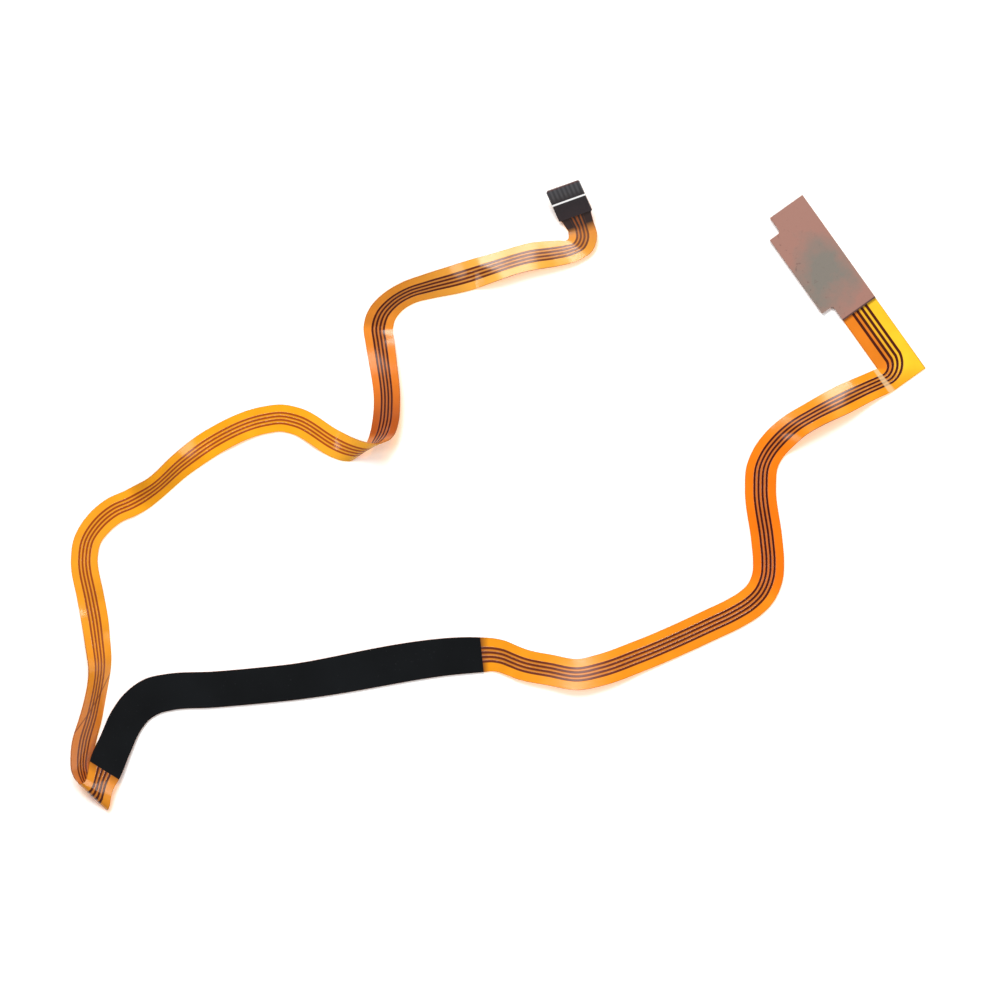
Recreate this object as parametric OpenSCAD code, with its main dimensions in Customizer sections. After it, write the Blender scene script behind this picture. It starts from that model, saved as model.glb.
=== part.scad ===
// Flat flex cable: four etched conductors laminated between two amber films,
// with a stiffened contact tail, a black cover film and a stiffened end plate.
// Units are millimetres and +Z is up. The cable lies loose on the plane z = 0.

/* [Tail] */
// Width of the contact tail
tail_w = 4; // [3.8:0.1:4.6]
// Length of the wide part of the tail
tail_len = 4; // [3.4:0.1:4.8]
// Length of the neck between the tail and the strand
neck_len = 1.3; // [1:0.1:1.6]
// Width of the neck
neck_w = 3.1; // [2.8:0.1:3.4]
// Pitch of the contact fingers
contact_pitch = 0.5; // [0.45:0.01:0.55]
// Width of a contact finger
finger_w = 0.3; // [0.2:0.02:0.36]
// Length of the bare contact fingers
finger_len = 2.4; // [1.8:0.1:3]
// Thickness of the tail over fingers and stiffener
tail_t = 0.3; // [0.2:0.01:0.4]

/* [Strand] */
// Width of the strand next to the tail
strand_w = 3.3; // [2.7:0.1:3.9]
// Width of the strand where it shows its reverse face
reverse_w = 3.05; // [2.5:0.05:3.6]
// Width of the strand at the lower fold
fold_w = 3.5; // [3:0.1:4.1]
// Width under the black cover film
covered_w = 4.05; // [3.4:0.05:4.6]
// Width of the strand next to the end plate
far_w = 3.5; // [2.9:0.1:4]
// Width where the strand meets the leg
join_w = 3.1; // [2.6:0.1:3.6]
// Spacing of the four conductors as a share of the width
pitch_share = 0.13; // [0.1:0.005:0.16]
// Width of a conductor as a share of that spacing
line_share = 0.5; // [0.35:0.05:0.65]

/* [Layers] */
// Thickness of the base film
base_t = 0.06; // [0.04:0.01:0.1]
// Thickness of the copper
copper_t = 0.035; // [0.02:0.005:0.05]
// Thickness of the cover film with its adhesive
cover_t = 0.08; // [0.06:0.01:0.12]
// Thickness of the black cover film
black_t = 0.06; // [0.04:0.01:0.1]
// Thickness of the bonding film under a stiffener
bond_t = 0.03; // [0.02:0.01:0.06]

/* [End plate] */
// Length of the stiffened plate
plate_len = 14.1; // [12:0.1:17]
// Width of the plate
plate_w = 5.9; // [5.2:0.1:7]
// Width of the leg and of the plate's two ends
leg_w = 4.45; // [4:0.05:5]
// Length of the leg from its heel to the plate
leg_len = 9.7; // [8.5:0.1:11.6]
// Length of each end step of the plate
step_len = 2.0; // [1.7:0.05:2.6]
// Radius in the plate's step corners
step_r = 0.3; // [0.1:0.05:0.5]
// Thickness of the end plate's stiffener
plate_t = 0.3; // [0.2:0.05:0.5]
// Spacing of the four solder lands
land_pitch = 1; // [0.85:0.05:1.1]
// Width of a solder land
land_w = 0.6; // [0.4:0.05:0.7]

/* [Hidden] */

amber = "#f0981c";
copper = "#c8743a";
gold = "#e2b44a";
black_film = "#1c1a1a";
tail_brown = "#4a2a30";
plate_brown = "#a8796a";
glue = "#d8c090";

// contact places of the tail, counted from the first finger
LIVE = [1, 2, 4, 5];
SPARE = [0, 3, 6];
middle_contact = 3;

// the strand's route: x, y, lift, azimuth and rise of the line across it, its length, steps to the next
ROUTE = [
    [9.5, 29.0, 0, 4, 13, strand_w, 1],
    [9.1, 28.1, 0, -20, 10, strand_w, 1],
    [8.0, 27.6, 0, -42, 10, strand_w, 1],
    [6.1, 27.2, 0, -60, 14, strand_w, 1],
    [4.0, 26.9, 0, -76, 20, strand_w, 1],
    [-1.2, 25.4, 0, -74, 15, strand_w, 2],
    [-4.8, 24.3, 0, -75, -18, strand_w, 1],
    [-7.8, 23.5, 0, -72, -35, strand_w, 1],
    [-10.0, 22.8, 0, -63, -40, strand_w, 1],
    [-11.8, 21.7, 0, -44, -35, strand_w, 1],
    [-13.0, 20.3, 0, -22, -20, strand_w, 1],
    [-13.4, 18.9, 0, -6, 0, strand_w, 1],
    [-13.2, 17.3, 0, 2, 8, strand_w, 1],
    [-12.9, 15.3, 0, 4, 18, strand_w, 2],
    [-12.4, 10.5, 0, 2, 27, strand_w, 1],
    [-12.6, 8.2, 0, -2, 27, strand_w, 1],
    [-12.9, 7.1, 0, -5, 34, strand_w, 1],
    [-13.3, 6.4, 0, -2, 43, strand_w, 1],
    [-13.8, 5.8, 0, 14, 54, strand_w * 1.12, 1],
    [-14.4, 5.3, 0, 28, 54, reverse_w * 1.42, 1],
    [-15.1, 5.0, 0, 37, 46, reverse_w * 1.4, 1],
    [-16.1, 5.1, 0, 51, 38, reverse_w * 1.18, 1],
    [-17.1, 5.4, 0, 59, 21, reverse_w * 1.03, 1],
    [-18.2, 5.9, 0, 60, 5, reverse_w, 2],
    [-22.7, 8.5, 0, 70, 0, reverse_w, 1],
    [-24.2, 8.8, 0, 84, 0, reverse_w, 1],
    [-26.0, 8.6, 0, 102, 0, reverse_w, 2],
    [-31.8, 6.2, 0, 118, 0, reverse_w, 1],
    [-35.3, 3.7, 0, 129, 26, reverse_w, 1],
    [-38.6, 0.8, 0, 128, 31, reverse_w, 1],
    [-41.1, -0.7, 0, 116, 0, reverse_w, 1],
    [-42.9, -1.5, 0, 122, 0, reverse_w, 1],
    [-44.8, -3.1, 0, 145, 0, reverse_w, 1],
    [-46.0, -5.0, 0, 172, 0, reverse_w, 1],
    [-46.3, -6.8, 0, 188, 0, reverse_w, 2],
    [-45.6, -11.3, 0, 190, 0, reverse_w, 1],
    [-45.1, -14.0, 0, 187, 14, reverse_w, 1],
    [-44.8, -16.2, 0, 187, 27, reverse_w, 1],
    [-44.5, -19.2, 0, 180, 51, fold_w, 1],
    [-44.7, -21.0, 0, 178, 55, fold_w, 1],
    [-45.0, -22.6, 0, 170, 55, fold_w, 1],
    [-45.4, -24.4, 0, 167, 52, fold_w, 1],
    [-46.3, -27.7, 0, 172, 48, fold_w, 1],
    [-46.5, -30.4, 0, 167, 50, fold_w * 0.97, 1],
    [-46.1, -31.9, 0, 150, 36, fold_w, 1],
    [-45.3, -33.3, 0, 138, 22, fold_w * 1.28, 1],
    [-45.2, -33.6, 0.25, 134, 22, fold_w * 1.27, 1],
    [-45.0, -33.5, 0.55, 134, 22, fold_w * 1.27, 1],
    [-44.7, -32.9, 0.8, 141, 22, fold_w * 1.08, 1],
    [-44.4, -31.8, 0.85, 145, 17, fold_w, 1],
    [-44.0, -30.6, 0.6, 147, 11, covered_w * 0.97, 1],
    [-42.8, -27.7, 0.3, 149, 4, covered_w * 0.95, 1],
    [-41.5, -24.9, 0.1, 146, 2, covered_w * 0.97, 1],
    [-40.4, -23.5, 0, 134, 0, covered_w, 1],
    [-38.6, -22.3, 0, 113, 0, covered_w * 1.04, 1],
    [-36.9, -21.9, 0, 100, 0, covered_w * 1.02, 1],
    [-31.9, -21.6, 0, 93, 0, covered_w, 1],
    [-24.2, -20.9, 0, 96, 0, covered_w, 1],
    [-1.8, -17.7, 0, 96, 0, covered_w * 0.97, 1],
    [-0.6, -17.7, 0, 88, 0, far_w * 1.06, 1],
    [0.5, -17.9, 0, 80, -3, far_w * 1.03, 1],
    [1.5, -18.3, 0, 74, -5, far_w, 1],
    [2.5, -18.7, 0, 74, -7, far_w, 1],
    [5.8, -19.4, 0, 80, -12, far_w, 1],
    [9.0, -19.9, 0, 90, -16, far_w * 1.02, 1],
    [11.5, -19.4, 0, 104, -13, far_w * 1.02, 1],
    [15.7, -17.9, 0, 111, -4, far_w, 1],
    [23.9, -14.3, 0, 114, 0, far_w, 1],
    [26.6, -13.0, 0, 121, 0, far_w, 1],
    [28.2, -12.0, 0, 130, 0, far_w, 1],
    [29.4, -10.8, 0, 144, 0, far_w, 1],
    [30.2, -8.9, 0, 165, 0, far_w, 1],
    [30.3, -7.2, 0, 177, 0, far_w, 1],
    [30.1, -4.8, 0, 186, 0, far_w, 1],
    [29.4, 1.0, 0, 184, 0, far_w, 1],
    [29.6, 3.4, 0, 177, 0, far_w, 1],
    [30.3, 4.9, 0, 166, 0, far_w, 1],
    [31.5, 6.4, 0, 152, -12, far_w, 1],
    [33.2, 7.9, 0, 137, -26, far_w, 1],
    [35.2, 9.1, 0, 126, -30, far_w, 1],
    [38.5, 10.8, 0, 117, -20, far_w, 1],
    [41.2, 12.1, 0, 122, -8, join_w * 1.02, 1]
];
// stations between which the black cover film lies
black_from = 50;
black_to = 58;

// the tail: place of its tip, heading, pitch and roll of its plane
tail_tip = [7.2, 34.7];
tail_heading = -65;
tail_pitch = -20;
tail_roll = 18;
tip_chamfer = 0.15;
tip_inset = 0.12;
shoulder = 0.2;

// the far end: outer heel corner and heading of the leg
heel = [47.9, 14.4];
leg_heading = 125.5;
turn = 90;
wall_run = 0.06;
land_end_gap = 0.4;
bare_before_step = 1.2;

// shift that puts the middle of the lying cable over the origin
centring = [-0.045, -0.075, 0];

function unit(a) = a / norm(a);
function mix(a, b, t) = a * (1 - t) + b * t;
function bearing(a) = [cos(a), sin(a), 0];
function across(a, rise) = [cos(rise) * cos(a), cos(rise) * sin(a), sin(rise)];

// cubic through b and c, a and d being their neighbours
function curve(a, b, c, d, t) =
    b + (c - a) * t / 2 + (a - b * 2.5 + c * 2 - d / 2) * t * t + (b * 3 - a - c * 3 + d) * t * t * t / 2;

last = len(ROUTE) - 1;
STATIONS = concat(
    [for (i = [0:last - 1])
        let (steps = ROUTE[i][6])
        for (j = [0:steps - 1])
            curve(ROUTE[max(i - 1, 0)], ROUTE[i], ROUTE[i + 1], ROUTE[min(i + 2, last)], j / steps)],
    [ROUTE[last]]);
// index of a route row among the stations
function station_of(row, i = 0) = i >= row ? 0 : ROUTE[i][6] + station_of(row, i + 1);

// a line across the cable: place, direction across, outward direction of the front face,
// and the distances of the film's edges and of the conductors' sides along it
function centred(w, pitch, line) =
    [-w / 2, for (k = [-1.5:1:1.5]) for (s = [-0.5, 0.5]) k * pitch + s * line, w / 2];

lowest_side = [-cover_t, base_t];
function sink(n) = min([for (v = lowest_side) v * n[2]]);

// tail lines
tail_across_flat = bearing(tail_heading + turn);
tail_along = [cos(tail_pitch) * cos(tail_heading), cos(tail_pitch) * sin(tail_heading), sin(tail_pitch)];
tail_across = tail_across_flat * cos(tail_roll) + cross(tail_along, tail_across_flat) * sin(tail_roll);
tail_out = cross(tail_along, tail_across);
tail_whole = tail_len + neck_len;
tail_high = neck_w / 2 * tail_across[2] - tail_whole * tail_along[2] - sink(tail_out);
tail_start = [tail_tip[0], tail_tip[1], tail_high];
function spread(w) = centred(w, pitch_share * w, pitch_share * w * line_share);
contact_offs = [for (i = LIVE) for (s = [-0.5, 0.5]) (i - middle_contact) * contact_pitch + s * finger_w];
function tail_line(d, w, offs) = [tail_start + tail_along * d, tail_across, tail_out, concat(-w / 2, offs, w / 2)];
neck_offs = [for (k = [1:8]) spread(neck_w)[k]];
TAIL = [
    tail_line(0, tail_w - tip_inset * 2, contact_offs),
    tail_line(tip_chamfer, tail_w, contact_offs),
    tail_line(finger_len, tail_w, contact_offs),
    tail_line(tail_len - shoulder, tail_w, mix(contact_offs, neck_offs, 0.6)),
    tail_line(tail_len, neck_w, mix(contact_offs, neck_offs, 0.8)),
    tail_line(tail_whole, neck_w, neck_offs)
];
finger_line = 1;
tail_cover_line = 2;

// strand lines
function rough(s) = [s[0], s[1], s[2] + s[5] / 2 * abs(sin(s[4]))];
ROUGH = concat([tail_start + tail_along * tail_whole], [for (s = STATIONS) rough(s)], [[0, 0, 0]]);
leg_along = bearing(leg_heading);
leg_left = bearing(leg_heading + turn);
heel_at = [heel[0], heel[1], -sink([0, 0, 1])];
crook = heel_at + leg_along * join_w + leg_left * leg_w;
join_mid = crook - leg_along * join_w / 2;
count = len(STATIONS);
function centre_at(i) = i == count + 1 ? join_mid : ROUGH[i];
function strand_line(i) =
    let (s = STATIONS[i])
    let (along = unit(centre_at(i + 2) - centre_at(i)))
    let (over = across(s[3], s[4]))
    let (out = unit(cross(along, over)))
    [[s[0], s[1], s[2] + s[5] / 2 * abs(sin(s[4])) - sink(out)], over, out, spread(s[5])];
STRAND = [for (i = [0:count - 1]) strand_line(i)];

// the square turn into the leg, about its inner corner
heel_turn = atan2(leg_w, join_w);
function fan_reach(a) = a <= heel_turn ? join_w / cos(a) : leg_w / cos(turn - a);
function inward(w) = [for (k = [1:8]) spread(w)[k] - w / 2];
leg_offs = inward(leg_w);
function fan_line(a) =
    [crook, bearing(leg_heading + a), [0, 0, 1],
        concat(-fan_reach(a), mix(inward(join_w), leg_offs, a / turn), 0)];
FAN = [for (a = [0, heel_turn / 2, heel_turn, (heel_turn + turn) / 2, turn]) fan_line(a)];

// the leg and the plate, measured from the heel
plate_end = leg_len + plate_len;
wide_from = leg_len + step_len;
wide_to = plate_end - step_len;
arc_run = step_r * (1 - sin(45));
function land_offs(w) = [for (k = [-1.5:1:1.5]) for (s = [-0.5, 0.5]) -leg_w / 2 + k * land_pitch + s * w];
thin_offs = land_offs(leg_w * pitch_share * line_share);
wide_offs = land_offs(land_w);
function leg_line(a, extra, offs) =
    [heel_at + leg_along * a + leg_left * leg_w, leg_left, [0, 0, 1], concat(-leg_w, offs, extra)];
step_up = plate_w - leg_w;
PLATE = [
    leg_line(wide_from - step_r, 0, leg_offs),
    leg_line(wide_from - arc_run, arc_run, leg_offs),
    leg_line(wide_from, step_r, leg_offs),
    leg_line(wide_from + wall_run, step_up, leg_offs),
    leg_line(wide_to - bare_before_step, step_up, thin_offs),
    leg_line(wide_to - wall_run, step_up, thin_offs),
    leg_line(wide_to, step_r, thin_offs),
    leg_line(wide_to + arc_run, arc_run, thin_offs),
    leg_line(wide_to + step_r, 0, wide_offs),
    leg_line(plate_end - land_end_gap, 0, wide_offs),
    leg_line(plate_end, 0, wide_offs)
];

LINES = concat(TAIL, STRAND, FAN, PLATE);
strand_first = len(TAIL);
plate_first = len(TAIL) + len(STRAND) + len(FAN);
cover_last = plate_first + 4;
land_last = len(LINES) - 2;
function span(a, b) = [for (i = [a:b]) LINES[i]];

// sections across the cable: pairs of breakpoint and height, and the facets that close them
function slab(low, high) = concat([for (k = [0:9]) [k, low]], [for (k = [9:-1:0]) [k, high]]);
slab_caps = [for (k = [0:8]) [k, k + 1, 18 - k, 19 - k]];
function bar(a, low, high) = [[a, low], [a + 1, low], [a + 1, high], [a, high]];
bar_caps = [[0, 1, 2, 3]];
grooved = concat(
    [for (k = [0:9]) [k, -cover_t]],
    [[9, 0]],
    [for (k = [8:-2:2]) each [[k, 0], [k, -copper_t], [k - 1, -copper_t], [k - 1, 0]]],
    [[0, 0]]);
// facets of one grooved end: under each conductor, between conductors, and the two margins
grooved_caps = concat(
    [for (g = [0:3]) [7 - g * 2, 8 - g * 2, 12 + g * 4, 13 + g * 4]],
    [for (g = [0:2]) each [
        [6 - g * 2, 7 - g * 2, 13 + g * 4, 16 + g * 4],
        [16 + g * 4, 13 + g * 4, 14 + g * 4, 15 + g * 4]]],
    [[10, 11, 12, 8, 9], [27, 0, 1, 25, 26]]);

function place(line, p) = centring + line[0] + line[1] * line[3][p[0]] + line[2] * p[1];
// both sides of a shared face split along the same diagonal
function rising(p, q) = q[0] > p[0] || (q[0] == p[0] && q[1] > p[1]);
function skin(section, i, j) =
    let (n = len(section))
    let (m = (j + 1) % n)
    let (a = i * n + j)
    let (b = i * n + m)
    rising(section[j], section[m])
        ? [[a, b, b + n], [a, b + n, a + n]]
        : [[a, b, a + n], [b, b + n, a + n]];

module laminate(lines, section, caps) {
    n = len(section);
    top = (len(lines) - 1) * n;
    sides = [for (i = [0:len(lines) - 2]) for (j = [0:n - 1]) each skin(section, i, j)];
    foot = [for (c = caps) [for (k = [len(c) - 1:-1:0]) c[k]]];
    head = [for (c = caps) [for (k = c) k + top]];
    polyhedron(points = [for (l = lines) for (p = section) place(l, p)], faces = concat(sides, foot, head));
}

module on_tail() {
    translate(centring) multmatrix([for (i = [0:2]) [tail_along[i], tail_across[i], tail_out[i], tail_start[i]]]) children();
}

module on_plate() {
    translate(centring + heel_at) rotate([0, 0, leg_heading]) translate([leg_len, 0, 0]) children();
}

module tail_outline() {
    half = tail_w / 2;
    polygon([
        [0, tip_inset - half], [tip_chamfer, -half], [tail_len - shoulder, -half],
        [tail_len - shoulder, half], [tip_chamfer, half], [0, half - tip_inset]]);
}

module plate_outline() {
    difference() {
        square([plate_len, plate_w]);
        translate([-1, leg_w]) square([step_len + 1, plate_w]);
        translate([plate_len - step_len, leg_w]) square([step_len + 1, plate_w]);
    }
    for (x = [step_len - step_r, plate_len - step_len])
        translate([x, leg_w]) difference() {
            square(step_r);
            translate([x < plate_len / 2 ? 0 : step_r, step_r]) circle(step_r);
        }
}

module base_film() {
    color(amber) laminate(LINES, slab(0, base_t), slab_caps);
}

module cover_film() {
    color(amber) laminate(span(tail_cover_line, cover_last), grooved, grooved_caps);
}

module conductor(k) {
    color(copper) laminate(span(finger_line, land_last), bar(1 + k * 2, -copper_t, 0), bar_caps);
}

module conductor_1() {
    conductor(0);
}

module conductor_2() {
    conductor(1);
}

module conductor_3() {
    conductor(2);
}

module conductor_4() {
    conductor(3);
}

module spare_contact(i) {
    color(gold) on_tail()
        translate([tip_chamfer, (i - middle_contact) * contact_pitch - finger_w / 2, -copper_t])
            cube([finger_len - tip_chamfer, finger_w, copper_t]);
}

module spare_contact_1() {
    spare_contact(SPARE[0]);
}

module spare_contact_2() {
    spare_contact(SPARE[1]);
}

module spare_contact_3() {
    spare_contact(SPARE[2]);
}

module black_cover() {
    color(black_film) laminate(
        span(strand_first + station_of(black_from), strand_first + station_of(black_to)),
        slab(base_t, base_t + black_t), slab_caps);
}

module tail_stiffener() {
    color(tail_brown) on_tail() translate([0, 0, base_t + bond_t])
        linear_extrude(tail_t - base_t - copper_t - bond_t) tail_outline();
}

module tail_bond() {
    color(glue) on_tail() translate([0, 0, base_t]) linear_extrude(bond_t) tail_outline();
}

module plate_stiffener() {
    color(plate_brown) on_plate() translate([0, 0, base_t + bond_t]) linear_extrude(plate_t) plate_outline();
}

module plate_bond() {
    color(glue) on_plate() translate([0, 0, base_t]) linear_extrude(bond_t) plate_outline();
}

base_film();
cover_film();
conductor_1();
conductor_2();
conductor_3();
conductor_4();
spare_contact_1();
spare_contact_2();
spare_contact_3();
black_cover();
tail_stiffener();
tail_bond();
plate_stiffener();
plate_bond();
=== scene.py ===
from math import asin, atan2, ceil, cos, degrees, radians, sin, sqrt

import bpy
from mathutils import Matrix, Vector


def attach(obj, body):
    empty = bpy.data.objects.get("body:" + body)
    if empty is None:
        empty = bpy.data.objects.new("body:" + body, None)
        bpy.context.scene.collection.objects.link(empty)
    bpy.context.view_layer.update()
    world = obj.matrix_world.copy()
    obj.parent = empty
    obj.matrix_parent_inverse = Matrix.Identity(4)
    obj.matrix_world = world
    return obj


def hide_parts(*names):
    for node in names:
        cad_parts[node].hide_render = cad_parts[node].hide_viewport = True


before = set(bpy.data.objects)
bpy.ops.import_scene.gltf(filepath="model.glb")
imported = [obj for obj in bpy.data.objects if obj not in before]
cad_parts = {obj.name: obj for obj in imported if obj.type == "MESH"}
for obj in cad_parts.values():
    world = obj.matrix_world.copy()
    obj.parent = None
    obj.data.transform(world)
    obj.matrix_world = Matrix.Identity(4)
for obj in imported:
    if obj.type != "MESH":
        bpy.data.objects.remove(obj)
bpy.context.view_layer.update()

print("frame loaded")

# camera straight above the lying cable, framed on a 112 mm square
cameraSetup = {"centre": (0.00019, -0.00045), "height": 0.5, "view": 0.112, "sensor": 36.0}

cameraData = bpy.data.cameras.new("camera")
cameraData.sensor_width = cameraSetup["sensor"]
cameraData.lens = cameraSetup["sensor"] * cameraSetup["height"] / cameraSetup["view"]
cameraData.clip_start = 0.01
camera = bpy.data.objects.new("camera", cameraData)
camera.location = (*cameraSetup["centre"], cameraSetup["height"])
bpy.context.collection.objects.link(camera)
bpy.context.scene.camera = camera
print("camera set")

# the cable's route: x, y, lift in metres, azimuth and rise of the line across it in degrees, width
route = [
    (0.0095, 0.029, 0, 4, 13, 0.0033),
    (0.0091, 0.0281, 0, -20, 10, 0.0033),
    (0.008, 0.0276, 0, -42, 10, 0.0033),
    (0.0061, 0.0272, 0, -60, 14, 0.0033),
    (0.004, 0.0269, 0, -76, 20, 0.0033),
    (-0.0012, 0.0254, 0, -74, 15, 0.0033),
    (-0.0048, 0.0243, 0, -75, -18, 0.0033),
    (-0.0078, 0.0235, 0, -72, -35, 0.0033),
    (-0.01, 0.0228, 0, -63, -40, 0.0033),
    (-0.0118, 0.0217, 0, -44, -35, 0.0033),
    (-0.013, 0.0203, 0, -22, -20, 0.0033),
    (-0.0134, 0.0189, 0, -6, 0, 0.0033),
    (-0.0132, 0.0173, 0, 2, 8, 0.0033),
    (-0.0129, 0.0153, 0, 4, 18, 0.0033),
    (-0.0124, 0.0105, 0, 2, 27, 0.0033),
    (-0.0126, 0.0082, 0, -2, 27, 0.0033),
    (-0.0129, 0.0071, 0, -5, 34, 0.0033),
    (-0.0133, 0.0064, 0, -2, 43, 0.0033),
    (-0.0138, 0.0058, 0, 14, 54, 0.0037),
    (-0.0144, 0.0053, 0, 28, 54, 0.00433),
    (-0.0151, 0.005, 0, 37, 46, 0.00427),
    (-0.0161, 0.0051, 0, 51, 38, 0.0036),
    (-0.0171, 0.0054, 0, 59, 21, 0.00314),
    (-0.0182, 0.0059, 0, 60, 5, 0.00305),
    (-0.0227, 0.0085, 0, 70, 0, 0.00305),
    (-0.0242, 0.0088, 0, 84, 0, 0.00305),
    (-0.026, 0.0086, 0, 102, 0, 0.00305),
    (-0.0318, 0.0062, 0, 118, 0, 0.00305),
    (-0.0353, 0.0037, 0, 129, 26, 0.00305),
    (-0.0386, 0.0008, 0, 128, 31, 0.00305),
    (-0.0411, -0.0007, 0, 116, 0, 0.00305),
    (-0.0429, -0.0015, 0, 122, 0, 0.00305),
    (-0.0448, -0.0031, 0, 145, 0, 0.00305),
    (-0.046, -0.005, 0, 172, 0, 0.00305),
    (-0.0463, -0.0068, 0, 188, 0, 0.00305),
    (-0.0456, -0.0113, 0, 190, 0, 0.00305),
    (-0.0451, -0.014, 0, 187, 14, 0.00305),
    (-0.0448, -0.0162, 0, 187, 27, 0.00305),
    (-0.0445, -0.0192, 0, 180, 51, 0.0035),
    (-0.0447, -0.021, 0, 178, 55, 0.0035),
    (-0.045, -0.0226, 0, 170, 55, 0.0035),
    (-0.0454, -0.0244, 0, 167, 52, 0.0035),
    (-0.0463, -0.0277, 0, 172, 48, 0.0035),
    (-0.0465, -0.0304, 0, 167, 50, 0.0034),
    (-0.0461, -0.0319, 0, 150, 36, 0.0035),
    (-0.0453, -0.0333, 0, 138, 22, 0.00448),
    (-0.0452, -0.0336, 0.00025, 134, 22, 0.00445),
    (-0.045, -0.0335, 0.00055, 134, 22, 0.00445),
    (-0.0447, -0.0329, 0.0008, 141, 22, 0.00378),
    (-0.0444, -0.0318, 0.00085, 145, 17, 0.0035),
    (-0.044, -0.0306, 0.0006, 147, 11, 0.00393),
    (-0.0428, -0.0277, 0.0003, 149, 4, 0.00385),
    (-0.0415, -0.0249, 0.0001, 146, 2, 0.00393),
    (-0.0404, -0.0235, 0, 134, 0, 0.00405),
    (-0.0386, -0.0223, 0, 113, 0, 0.00421),
    (-0.0369, -0.0219, 0, 100, 0, 0.00413),
    (-0.0319, -0.0216, 0, 93, 0, 0.00405),
    (-0.0242, -0.0209, 0, 96, 0, 0.00405),
    (-0.0018, -0.0177, 0, 96, 0, 0.00393),
    (-0.0006, -0.0177, 0, 88, 0, 0.00371),
    (0.0005, -0.0179, 0, 80, -3, 0.00361),
    (0.0015, -0.0183, 0, 74, -5, 0.0035),
    (0.0025, -0.0187, 0, 74, -7, 0.0035),
    (0.0058, -0.0194, 0, 80, -12, 0.0035),
    (0.009, -0.0199, 0, 90, -16, 0.00357),
    (0.0115, -0.0194, 0, 104, -13, 0.00357),
    (0.0157, -0.0179, 0, 111, -4, 0.0035),
    (0.0239, -0.0143, 0, 114, 0, 0.0035),
    (0.0266, -0.013, 0, 121, 0, 0.0035),
    (0.0282, -0.012, 0, 130, 0, 0.0035),
    (0.0294, -0.0108, 0, 144, 0, 0.0035),
    (0.0302, -0.0089, 0, 165, 0, 0.0035),
    (0.0303, -0.0072, 0, 177, 0, 0.0035),
    (0.0301, -0.0048, 0, 186, 0, 0.0035),
    (0.0294, 0.001, 0, 184, 0, 0.0035),
    (0.0296, 0.0034, 0, 177, 0, 0.0035),
    (0.0303, 0.0049, 0, 166, 0, 0.0035),
    (0.0315, 0.0064, 0, 152, -12, 0.0035),
    (0.0332, 0.0079, 0, 137, -26, 0.0035),
    (0.0352, 0.0091, 0, 126, -30, 0.0035),
    (0.0385, 0.0108, 0, 117, -20, 0.0035),
    (0.0412, 0.0121, 0, 122, -8, 0.00316),]
blackRows = (50, 58)      # rows between which the black cover film lies
creaseRows = (38.3, 41.6)  # where the crease leaves one edge and reaches the other
shift = Vector((-0.000045, -0.000075, 0))  # puts the middle of the cable over the origin

# pitch and line are shares of the strand's width, all other lengths are metres
film = {"base": 0.00006, "copper": 0.000035, "cover": 0.00008, "black": 0.00006, "blackTrim": 0.00003,
        "pitch": 0.13, "line": 0.065, "step": 0.00035, "ease": 0.03, "seam": 0.000001, "crispFrom": 40}
tail = {"tip": (0.0072, 0.0347), "heading": -65, "pitch": -20, "roll": 18, "width": 0.004, "length": 0.004,
        "neckLength": 0.0013, "neckWidth": 0.0031, "fingers": 0.0024, "fingerPitch": 0.0005,
        "fingerWidth": 0.0003, "inset": 0.00012, "chamfer": 0.00015, "shoulder": 0.0002, "live": (1, 2, 4, 5),
        "middleFinger": 3, "flare": 0.14, "gather": (0.6, 0.8, 0.9)}
leg = {"heel": (0.0479, 0.0144), "heading": 125.5, "join": 0.0031, "width": 0.00445, "length": 0.0097,
       "plate": 0.0141, "plateWidth": 0.0059, "step": 0.002, "radius": 0.0003, "wall": 0.00006,
       "bare": 0.0012, "landPitch": 0.001, "land": 0.0006, "landGap": 0.0004,
       "fanSteps": 5, "runSteps": 8}


def bearing(angle):
    return Vector((cos(radians(angle)), sin(radians(angle)), 0))


def across(azimuth, rise):
    return Vector((cos(radians(rise)) * cos(radians(azimuth)), cos(radians(rise)) * sin(radians(azimuth)),
                   sin(radians(rise))))


def sink(out):  # how far the laminate reaches below its middle line
    return min(-film["cover"] * out.z, film["base"] * out.z)


def spread(width):  # the film's edges and the sides of the four conductors
    return ([-width / 2] + [(k * film["pitch"] + s * film["line"] / 2) * width
                            for k in (-1.5, -0.5, 0.5, 1.5) for s in (-1, 1)] + [width / 2])


def mixed(a, b, t):
    return [p * (1 - t) + q * t for p, q in zip(a, b)]


# tail: a stiff flat tongue that slopes down to the strand
tailFlat = bearing(tail["heading"] + 90)
tailAlong = across(tail["heading"], tail["pitch"])
tailAcross = tailFlat * cos(radians(tail["roll"])) + tailAlong.cross(tailFlat) * sin(radians(tail["roll"]))
tailOut = tailAlong.cross(tailAcross)
tailWhole = tail["length"] + tail["neckLength"]
tailHeight = tail["neckWidth"] / 2 * tailAcross.z - tailWhole * tailAlong.z - sink(tailOut)
tailStart = Vector((*tail["tip"], tailHeight))
fingerSides = [(i - tail["middleFinger"]) * tail["fingerPitch"] + s * tail["fingerWidth"] / 2
               for i in tail["live"] for s in (-1, 1)]
neckSides = spread(tail["neckWidth"])[1:-1]
gathered = [mixed(fingerSides, neckSides, share) for share in tail["gather"]]
midNeck = tail["neckWidth"] * (1 + tail["flare"] / 2)


def tailLine(run, width, sides):
    return [tailStart + tailAlong * run, tailAcross, tailOut, [-width / 2] + list(sides) + [width / 2]]


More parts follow.
